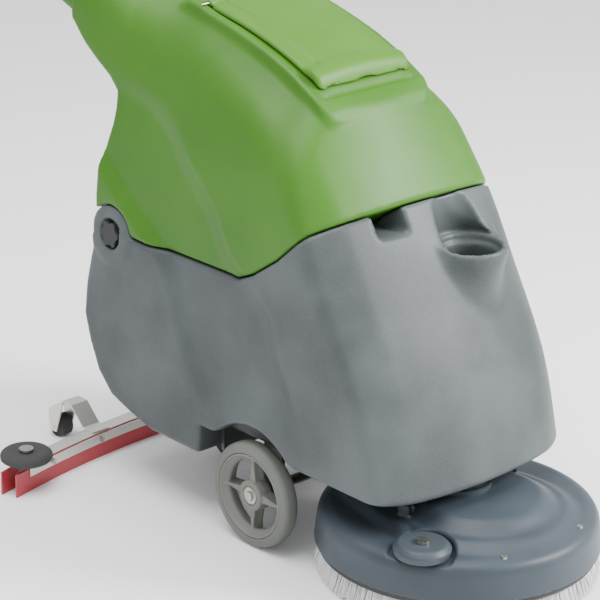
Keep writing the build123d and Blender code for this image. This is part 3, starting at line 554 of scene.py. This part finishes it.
def hull(x, y, z):
    """The outside that both tanks are cut from, open at the back and the top."""
    wide = np.abs(x)
    front = line_at(front_line, z)
    bow = line_at(bow_line, z)
    face = (front + 43 * bow * (wide / shoulder_x) ** 2 - y) * levelled(front_line, z)
    run = 71 * bow
    band = (run * (wide - shoulder_x) - 50 * (y - front - 43 * bow)) / np.sqrt(run * run + 2500)
    band = band * levelled(front_line, z)
    return meet(meet(face, band, 12), wide - side_at(y, z), 18)


print("hull from", front_line[0][0], "to", front_line[-1][0], "mm up")

# %% [markdown]
# ## Grey solution tank
# It is cut out of the hull by its side outline. Then come the hinge ears, the wheel arches, the battery bay,
# the pocket for the brush motor, the filler mouth with its scoop, and the notch for the fingers.

# %% Grey tank
hinge_y, hinge_z = 345.0, 495.0
ear_radius = 54.0
ear_inner = half_width - 32
axle_y, wheel_radius = -48.0, 100.0
arch_radius = 133.0
arch_inner = half_width - 47
deck_y = -344.0
pocket_top = 276.0
filler_x, filler_y, filler_z = 85.0, -267.0, 568.0
filler_radius = 64.0
split_line = [(345, 502), (250, 498), (120, 499), (0, 500), (-50, 523), (-112, 566), (-174, 623), (-225, 655),
              (-300, 700),
              (-400, 762), (-480, 816)]
grey_rear = [(233, 133), (300, 150), (353, 168), (392, 207), (415, 262), (429, 315),
             (421, 380), (405, 440), (392, 478)]
grey_outline = [(-480, 190), (92, 190), (98, 133)] + grey_rear + split_line


def grey_tank(x, y, z):
    """The grey tank's outside."""
    wide = np.abs(x)
    shell = hull(x, y, z)
    side = outline(grey_outline, y, z)
    body = meet(shell, side, 7 + 5 * (1 - step(200, 320, z)))
    around = round_bar(y, z, hinge_y, hinge_z, 0)
    ear = meet(meet(around - ear_radius, wide - half_width, 7), ear_inner - 20 - wide, 4)
    body = join(body, ear, 14)
    body = cut(body, meet(around - ear_radius - 3, wide - ear_inner, 3), 4)
    body = cut(body, meet(around - 29, half_width - 10 - wide, 2), 4)
    mouth = round_bar(x, y, filler_x, filler_y, 0)
    cup = (mouth - filler_radius - 4 + 0.26 * np.maximum(filler_z - 16 - z, 0)) / 1.03
    body = join(body, meet(cup, z - filler_z - 1, 5), 28)
    rise = np.maximum(z - filler_z, 0)
    lean = np.sqrt((x - filler_x + 0.28 * rise) ** 2 + (y - filler_y - 0.12 * rise) ** 2)
    lean = lean - filler_radius + 0.22 * rise
    body = cut(body, meet(lean, filler_z - z, 4), 3)
    body = cut(body, meet(mouth - filler_radius + 8, filler_z - 30 - z + 0.3 * mouth, 5), 3)
    throat = meet(mouth - filler_radius + 15, filler_z - 170 - z, 6)
    body = cut(body, meet(throat, join(shell, cup, 20) + 12, 4), 4)
    body = cut(body, box(x, y, z, (-108, -42), (-480, -152), (610, 760), 12), 7)
    bay = box(x, y, z, (-150, 150), (-130, 215), (215, 900), 12)
    body = cut(body, bay, 6)
    pocket = meet(round_bar(x, y, 0, deck_y, 95), z - pocket_top, 8)
    body = cut(body, meet(pocket, shell + 15, 4), 3)
    arch = meet(round_bar(y, z, axle_y, wheel_radius, arch_radius), arch_inner - wide, 10)
    return cut(body, arch, 11)


grey = skin("grey_tank", grey_tank, (-half_width, -430, 133), (half_width, 430, 665), 5.6)
dress(grey, "grey_shell", "chassis", "solution_tank")

# %% [markdown]
# ## Green recovery tank
# It fills the hull above the split line. Its shoulders slope up to a raised frame around the lid, and two
# wings run back to carry the handlebar.

# %% Green tank
seam = 3.0
lid_half = 110.0
coaming_half = 131.0
ridge_line = [(-128, 812), (-62, 828), (0, 856), (68, 880), (160, 905), (258, 925),
              (345, 965), (430, 1005), (600, 1010)]
lid_line = [(-88, 846), (-84, 855), (-33, 881), (19, 901), (71, 917), (124, 930), (178, 940), (205, 945)]
seat_line = [(-96, 826), (-84, 842), (-33, 868), (19, 888), (71, 904), (124, 917), (178, 927), (214, 934)]
green_split = [(y, z + seam) for y, z in split_line[1:]]
green_rear = [(396, 812), (372, 790), (355, 763), (356, 730), (362, 700), (382, 644),
              (386, 600), (390, 560), (390, 527)]
console = [(214, 934), (260, 955), (310, 985), (350, 998), (410, 980), (470, 962),
           (476, 950), (470, 880), (430, 842)]
green_outline = [(-480, 812), (-132, 812)] + seat_line[:-1] + console + green_rear
green_outline = green_outline + [(360, 518), (315, 505)] + green_split[:-1]
wing_outline = [(330, 860), (396, 812), (430, 842), (467, 877), (522, 897), (585, 912), (595, 924),
                (597, 937), (590, 953),
                (560, 967), (520, 977), (470, 984), (410, 990), (350, 996)]
rim_outline = [(-128, 780), (-128, 796), (-119, 810), (-98, 829), (-33, 864), (19, 885), (71, 901),
                (124, 915), (178, 927),
               (214, 938), (240, 942), (260, 930), (260, 880)]


def green_tank(x, y, z):
    """The green tank's outside."""
    wide = np.abs(x)
    slope = 0.85
    ridge = (z - line_at(ridge_line, y) + slope * (wide - coaming_half)) / math.sqrt(1 + slope * slope)
    shell = meet(hull(x, y, z), ridge, 26)
    body = meet(shell, outline(green_outline, y, z), 9)
    wing = meet(meet(outline(wing_outline, y, z), 150 - wide, 8), wide - 206, 14)
    body = join(body, meet(wing, shell, 16), 10)
    corner = (-131 - y) * 0.7 + (wide - coaming_half + 16) * 0.7
    rim = meet(meet(outline(rim_outline, y, z), wide - coaming_half, 8), corner, 14)
    body = join(body, rim, 8)
    around = round_bar(y, z, hinge_y, hinge_z, 0)
    boss = meet(around - ear_radius, wide - ear_inner + seam, 4)
    body = join(body, boss, 10)
    body = cut(body, meet(around - ear_radius - seam, ear_inner - seam - wide, 3), 5)
    seat = line_at(seat_line, y) - 4 * step(78, 110, wide) - z
    seat = meet(meet(seat, wide - lid_half - 2, 5), np.abs(y - 59) - 156, 5)
    body = cut(body, seat, 4)
    body = cut(body, box(x, y, z, (-95, 95), (-70, 188), (600, 1100), 14), 6)
    return cut(body, meet(round_bar(y, z, 209, 939, 8), wide - lid_half - 2, 2), 2)


green = skin("green_tank", green_tank, (-half_width, -232, 498), (half_width, 598, 1000), 4.8)
dress(green, "green_shell", "recovery_tank", "recovery_tank")


# %% Lid
def lid_shape(x, y, z):
    """The lid: a thin curved plate with a raised middle, a finger scoop in front and a hinge roll."""
    wide = np.abs(x)
    raised = 2.2 * (1 - step(76, 82, wide)) * step(-58, -50, y) - 7.0 * (wide / lid_half) ** 2
    top = (z - line_at(lid_line, y) - raised) * levelled(lid_line, y)
    under = (line_at(seat_line, y) + 1.5 - 4 * step(78, 110, wide) - z) * levelled(seat_line, y)
    ends = np.abs(y - 59) - 147
    plate = meet(meet(meet(top, wide - lid_half, 9), ends, 12), under, 3)
    plate = join(plate, meet(round_bar(y, z, 209, 939, 6), wide - lid_half, 2), 5)
    scoop = np.sqrt((x / 2.2) ** 2 + (y + 98) ** 2 + (z - 838) ** 2) - 17
    return cut(plate, scoop, 4)


lid = skin("lid", lid_shape, (-lid_half, -96, 826), (lid_half, 216, 950), 2.6)
dress(lid, "green_cover", "lid", "tank_lid")


# %% Lever bracket
def lever_bracket(x, y, z):
    """Two ears and a pin that the squeegee's lever turns on, on the back of the grey tank."""
    ears = meet(np.abs(np.abs(x - 94) - 9) - 2.4, box(x, y, z, (60, 130), (408, 450), (348, 372), 6), 0.6)
    base = box(x, y, z, (80, 108), (404, 416), (346, 374), 2)
    return join(join(ears, base, 2), meet(round_bar(y, z, 440, 360, 4), np.abs(x - 94) - 13, 1), 1)


bracket = skin("lever_bracket", lever_bracket, (80, 404, 346), (108, 450, 374), 1.5)
dress(bracket, "black_paint", "chassis")
print("tanks, lid and lever bracket made")

# %% [markdown]
# ## Brush deck
# The cover is one moulding: a round pan with a soft dome over the motor, a ridge that runs back from the
# bumper, and a well that the bumper roller turns in.

# %% Deck cover
deck_radius = 256.0
deck_low, deck_top = 54.0, 122.0
dome_y = deck_y - 56
roller_radius = 51.0
roller_x, roller_y = -190.96, -442.14
roller_top, roller_thick = 143.0, 22.0
lug_x, pin_z = 134.0, 150.0


def deck_shape(x, y, z):
    """The deck cover."""
    out = round_bar(x, y, 0, deck_y, 0)
    behind = 0.75 * np.maximum(y - dome_y, 0)
    dome = np.sqrt((x * 0.96) ** 2 + (np.minimum(y - dome_y, 0) ** 2 + behind ** 2))
    along = (x - roller_x) * 0.20 + (y - roller_y) * 0.98
    across = (x - roller_x) * 0.98 - (y - roller_y) * 0.20
    ridge = 13 * (1 - step(22, 48, np.abs(across - 30))) * step(20, 80, along) * (1 - step(190, 250, out))
    height = 14 * (1 - step(140, 176, dome)) + 19 * (1 - step(98, 138, dome)) + 3 * (1 - (dome / 180) ** 2)
    top = z - deck_top - np.maximum(height, ridge) - 2.0 * (1 - step(222, 238, out))
    rim = (out - deck_radius + np.maximum(z - deck_low, 0) * 0.11) * 0.99
    body = meet(meet(top * 0.93, rim, 24), deck_low - z, 3)
    for side in (-1, 1):
        lug_span = tuple(sorted((side * lug_x, side * (lug_x + 8))))
        lug = box(x, y, z, lug_span, (deck_y - 12, deck_y + 12), (deck_top - 8, pin_z + 11), 3)
        body = join(body, lug, 4)
        body = join(body, meet(round_bar(y, z, deck_y, pin_z, 5), np.abs(x - side * 129) - 9, 1), 1)
    body = cut(body, meet(out - deck_radius + 13 + 0.45 * np.maximum(z - 90, 0), z - deck_top + 16, 6), 2)
    body = cut(body, out - 51.5, 2)
    well = meet(round_bar(x, y, roller_x, roller_y, roller_radius + 6), roller_top - roller_thick - 4 - z, 4)
    return cut(body, well, 6)


deck_first = (-deck_radius, deck_y - deck_radius, deck_low)
deck_last = (deck_radius, deck_y + deck_radius, 165)
deck = skin("deck", deck_shape, deck_first, deck_last, 3.4)
dress(deck, "deck_shell", "deck", "deck_cover")

# %% [markdown]
# ## Turned parts
# Tyres, rollers, discs and the grip are turned: a profile of (along, out) points goes round an axis.


# %% Turned parts
def turned(name, profiles, place, axis, count=96):
    """Profiles of (along, out) points turned about an axis through a place. Each profile is a closed loop."""
    aim_z = Vector(axis).normalized()
    aim_x = aim_z.orthogonal().normalized()
    aim_y = aim_z.cross(aim_x)
    frame_of = np.array([aim_x, aim_y, aim_z])
    spots = []
    faces = []
    angles = np.arange(count) * 2 * math.pi / count
    for profile in profiles:
        base = sum(len(s) for s in spots)
        size = len(profile)
        for height, out in profile:
            ring = np.stack([out * np.cos(angles), out * np.sin(angles), np.full(count, height)], 1)
            spots.append(ring @ frame_of + np.array(place))
        for k in range(size):
            first = base + k * count
            second = base + (k + 1) % size * count
            i = np.arange(count)
            after = (i + 1) % count
            faces.append(np.stack([first + i, first + after, second + after, second + i], 1))
    return keep(name, mesh_of(name, np.concatenate(spots) * MM, np.concatenate(faces)))


def rounded(points, radius, count=5):
    """A closed profile with every corner rounded."""
    made = []
    spots = np.array(points, float)
    for before, here, after in zip(np.roll(spots, 1, 0), spots, np.roll(spots, -1, 0)):
        back = (before - here) / np.linalg.norm(before - here)
        ahead = (after - here) / np.linalg.norm(after - here)
        reach = min(radius, 0.45 * np.linalg.norm(before - here), 0.45 * np.linalg.norm(after - here))
        start, end = here + back * reach, here + ahead * reach
        for t in np.linspace(0, 1, count):
            made.append(tuple((1 - t) ** 2 * start + 2 * t * (1 - t) * here + t * t * end))
    return made


roller_low = roller_top - roller_thick
roller = [(roller_low, 49), (roller_top - 9, 51), (roller_top, 42), (roller_top, 8.1), (roller_low, 8.1)]
bumper = turned("bumper", [rounded(roller, 3)], (roller_x, roller_y, 0), (0, 0, 1))
dress(bumper, "bumper_shell", "bumper_roller", "bumper_roller")

wheel_width = 36.0
wheel_x = half_width + 2 - wheel_width / 2
rim_radius = 80.0
for name, side in (("right", -1), ("left", 1)):
    tread = [(-18, 80.5), (-18, 88), (-15, 96), (-9, 99.4), (0, 100), (9, 99.4), (15, 96), (18, 88),
             (18, 80.5)]
    hub_place = (side * wheel_x, axle_y, wheel_radius)
    tyre = turned("tyre_" + name, [rounded(tread, 2.5)], hub_place, (1, 0, 0), 128)
    dress(tyre, "tyre_shell", "wheel_" + name, "wheel_tyre_" + name)


def rim_shape(side):
    """The wheel's centre: a rim, a hub and four fins that are thick at the hub and thin at the rim."""
    def shape(x, y, z):
        u = (x - side * wheel_x) * side
        out = round_bar(y, z, axle_y, wheel_radius, 0)
        bed = 66 + 10 * step(2, 17, u) + 6 * step(2, 17, -u)
        body = meet(meet(out - rim_radius, bed - out, 3), np.abs(u) - 17.6, 2.5)
        thick = 3.2 + 4.5 * step(62, 26, out) + 3.0 * step(0, -14, u)
        across = np.minimum(np.abs(y - axle_y), np.abs(z - wheel_radius))
        fins = meet(meet(across - thick, out - 72, 2), np.abs(u + 2) - 11, 2)
        body = join(body, fins, 4)
        hub = meet(out - 30 + 0.12 * np.maximum(u, 0), np.abs(u) - 15, 3)
        hub = cut(hub, meet(np.abs(out - 25.5) - 1.0, 13.5 - u, 0.6), 0.8)
        body = join(body, hub, 3)
        body = cut(body, meet(out - 18, 12 - u, 1), 1)
        return cut(body, out - 10.05, 0.6)
    return shape


for name, side in (("right", -1), ("left", 1)):
    low = (min(side * wheel_x - 18, side * wheel_x + 18), axle_y - rim_radius, wheel_radius - rim_radius)
    high = (low[0] + wheel_width, axle_y + rim_radius, wheel_radius + rim_radius)
    rim = skin("rim_" + name, rim_shape(side), low, high, 1.9)
    dress(rim, "wheel_shell", "wheel_" + name, "wheel_rim_" + name)
print("deck, bumper and wheels made")

# %% [markdown]
# ## Handlebar, discs and rollers
# The grip foam is turned with a soft end. The end discs of the squeegee are thick rubber pucks.

# %% Discs and rollers
blade_y, blade_bow = 463.0, 1700.0
disc_x = 387.0


def blade_at(x):
    """Where the squeegee's middle line is."""
    return blade_y - blade_bow + math.sqrt(blade_bow ** 2 - x * x)


for name, side in (("right", -1), ("left", 1)):
    puck = [(55.5, 44), (60, 50), (69, 50), (75, 43), (75, 30), (73.5, 22), (73.5, 8.1), (55.5, 8.1)]
    puck = rounded(puck, 3.5)
    disc = turned("disc_" + name, [puck], (side * disc_x, blade_at(disc_x), 0), (0, 0, 1))
    dress(disc, "black_rubber", "end_disc_" + name, "end_disc_" + name)
    half = [(-15, 4.1), (-15, 12), (-11, 14), (-11, 18), (-14, 22)]
    wheel = rounded(half + [(-along, out) for along, out in reversed(half)], 2)
    support = turned("support_" + name, [wheel], (side * 190, 570, 22), (1, 0, 0), 64)
    dress(support, "black_rubber", "support_roller_" + name, "support_roller_" + name)

handle_y, handle_z = 565.0, 938.0
grip = rounded([(-166, 0.5), (-166, 13), (-160, 14), (160, 14), (166, 13), (166, 0.5)], 3)
foam = turned("grip", [grip], (0, handle_y, handle_z), (1, 0, 0), 48)
dress(foam, "black_rubber", "recovery_tank", "handlebar")
print("discs, rollers and grip made")

# %% [markdown]
# ## Bristles by rule
# The brush is grown with Geometry Nodes. Rings of points stand for the tuft holes, and each point carries one
# filament, leaned outward by the ring's rule and turned and scaled a little at random.


# %% Filaments
def grown(name, build):
    """Runs a Geometry Nodes tree once and keeps what it made as a plain mesh."""
    tree = bpy.data.node_groups.new(name, "GeometryNodeTree")
    tree.interface.new_socket("Geometry", in_out="OUTPUT", socket_type="NodeSocketGeometry")
    inputs = build(tree)
    host = keep(name + "_host", bpy.data.meshes.new(name + "_host"))
    modifier = host.modifiers.new(name, "NODES")
    modifier.node_group = tree
    for item in tree.interface.items_tree:
        if item.in_out == "INPUT" and item.name in inputs:
            modifier[item.identifier] = inputs[item.name]
    host.data.update()
    made = host.evaluated_get(bpy.context.evaluated_depsgraph_get())
    mesh = bpy.data.meshes.new_from_object(made)
    mesh.name = name
    bpy.data.objects.remove(host)
    mesh.polygons.foreach_set("use_smooth", [True] * len(mesh.polygons))
    return keep(name, mesh)


def add(tree, kind, settings=None, **values):
    """A node with some of its settings and named sockets set or linked."""
    node = tree.nodes.new(kind)
    for key, value in (settings or {}).items():
        setattr(node, key, value)
    for key, value in values.items():
        numbered = key[0] == "i" and key[1:].isdigit()
        socket = node.inputs[int(key[1:]) if numbered else key.replace("_", " ")]
        if isinstance(value, bpy.types.NodeSocket):
            tree.links.new(value, socket)
        else:
            socket.default_value = value
    return node


brush_seed = 7
# Each ring: how far in it sits in metres, its lean in degrees and its share of the filaments.
brush_rings = [(0.0, 18.0, 1.0), (-0.006, 15.0, 1.0), (-0.014, 11.0, 0.8), (-0.034, 5.0, 0.5)]


def filament_tree(tree):
    """Rings of filaments around the brush's axis, each ring with its own lean."""
    tree.interface.new_socket("Filaments", in_out="INPUT", socket_type="NodeSocketInt")
    for socket in ("Radius", "Length", "Thickness"):
        tree.interface.new_socket(socket, in_out="INPUT", socket_type="NodeSocketFloat")
    given = tree.nodes.new("NodeGroupInput")
    joined = tree.nodes.new("GeometryNodeJoinGeometry")
    thick = given.outputs["Thickness"]
    blade = add(tree, "GeometryNodeMeshCone", {"fill_type": "TRIANGLE_FAN"}, Vertices=4, Side_Segments=2,
                Radius_Top=thick, Radius_Bottom=thick, Depth=given.outputs["Length"])
    hang = add(tree, "ShaderNodeMath", {"operation": "MULTIPLY"}, i0=given.outputs["Length"], i1=-1.0)
    drop = add(tree, "ShaderNodeCombineXYZ", Z=hang.outputs[0])
    hung = add(tree, "GeometryNodeTransform", Geometry=blade.outputs["Mesh"], Translation=drop.outputs[0])
    for ring, (inset, lean, share) in enumerate(brush_rings):
        reach = add(tree, "ShaderNodeMath", {"operation": "ADD"}, i0=given.outputs["Radius"], i1=inset)
        count = add(tree, "ShaderNodeMath", {"operation": "MULTIPLY"}, i0=given.outputs["Filaments"],
                    i1=share)
        circle = add(tree, "GeometryNodeMeshCircle", {"fill_type": "NONE"}, Vertices=count.outputs[0],
                     Radius=reach.outputs[0])
        shake = add(tree, "FunctionNodeRandomValue", {"data_type": "FLOAT_VECTOR"},
                    Min=(-0.0022, -0.0022, -0.001), Max=(0.0022, 0.0022, 0.001), Seed=brush_seed + ring)
        moved = add(tree, "GeometryNodeSetPosition", Geometry=circle.outputs["Mesh"], Offset=shake.outputs[0])
        place = tree.nodes.new("GeometryNodeInputPosition")
        split = add(tree, "ShaderNodeSeparateXYZ", Vector=place.outputs[0])
        heading = add(tree, "ShaderNodeMath", {"operation": "ARCTAN2"}, i0=split.outputs["Y"],
                      i1=split.outputs["X"])
        wobble = add(tree, "FunctionNodeRandomValue", {"data_type": "FLOAT_VECTOR"},
                     Min=(-0.06, -math.radians(lean) - 0.05, -0.03),
                     Max=(0.06, -math.radians(lean) + 0.05, 0.03), Seed=brush_seed + 10 + ring)
        leaned = add(tree, "FunctionNodeEulerToRotation", Euler=wobble.outputs[0])
        facing = add(tree, "ShaderNodeCombineXYZ", Z=heading.outputs[0])
        turned_to = add(tree, "FunctionNodeEulerToRotation", Euler=facing.outputs[0])
        both = add(tree, "FunctionNodeRotateRotation", {"rotation_space": "LOCAL"},
                   Rotation=turned_to.outputs[0], Rotate_By=leaned.outputs[0])
        size = add(tree, "FunctionNodeRandomValue", {"data_type": "FLOAT"}, i2=0.93, i3=1.0,
                   Seed=brush_seed + 20 + ring)
        placed = add(tree, "GeometryNodeInstanceOnPoints", Points=moved.outputs[0], Instance=hung.outputs[0],
                     Rotation=both.outputs[0], Scale=size.outputs[1])
        tree.links.new(placed.outputs[0], joined.inputs[0])
    real = add(tree, "GeometryNodeRealizeInstances", Geometry=joined.outputs[0])
    finish = add(tree, "GeometryNodeSetMaterial", Geometry=real.outputs[0], Material=bristle_nylon)
    out = tree.nodes.new("NodeGroupOutput")
    tree.links.new(finish.outputs[0], out.inputs[0])
    return {"Filaments": 1500, "Radius": 0.233, "Length": 0.061, "Thickness": 0.0009}


bristles = grown("bristles", filament_tree)
for vertex in bristles.data.vertices:
    vertex.co += Vector((0, deck_y * MM, 0.0625))
    vertex.co.z = max(vertex.co.z, 0.0005)
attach(bristles, "brush")
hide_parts("brush_bristles")
low = min(vertex.co.z for vertex in bristles.data.vertices)
print("filaments:", len(bristles.data.polygons), "faces, lowest", round(low, 4))
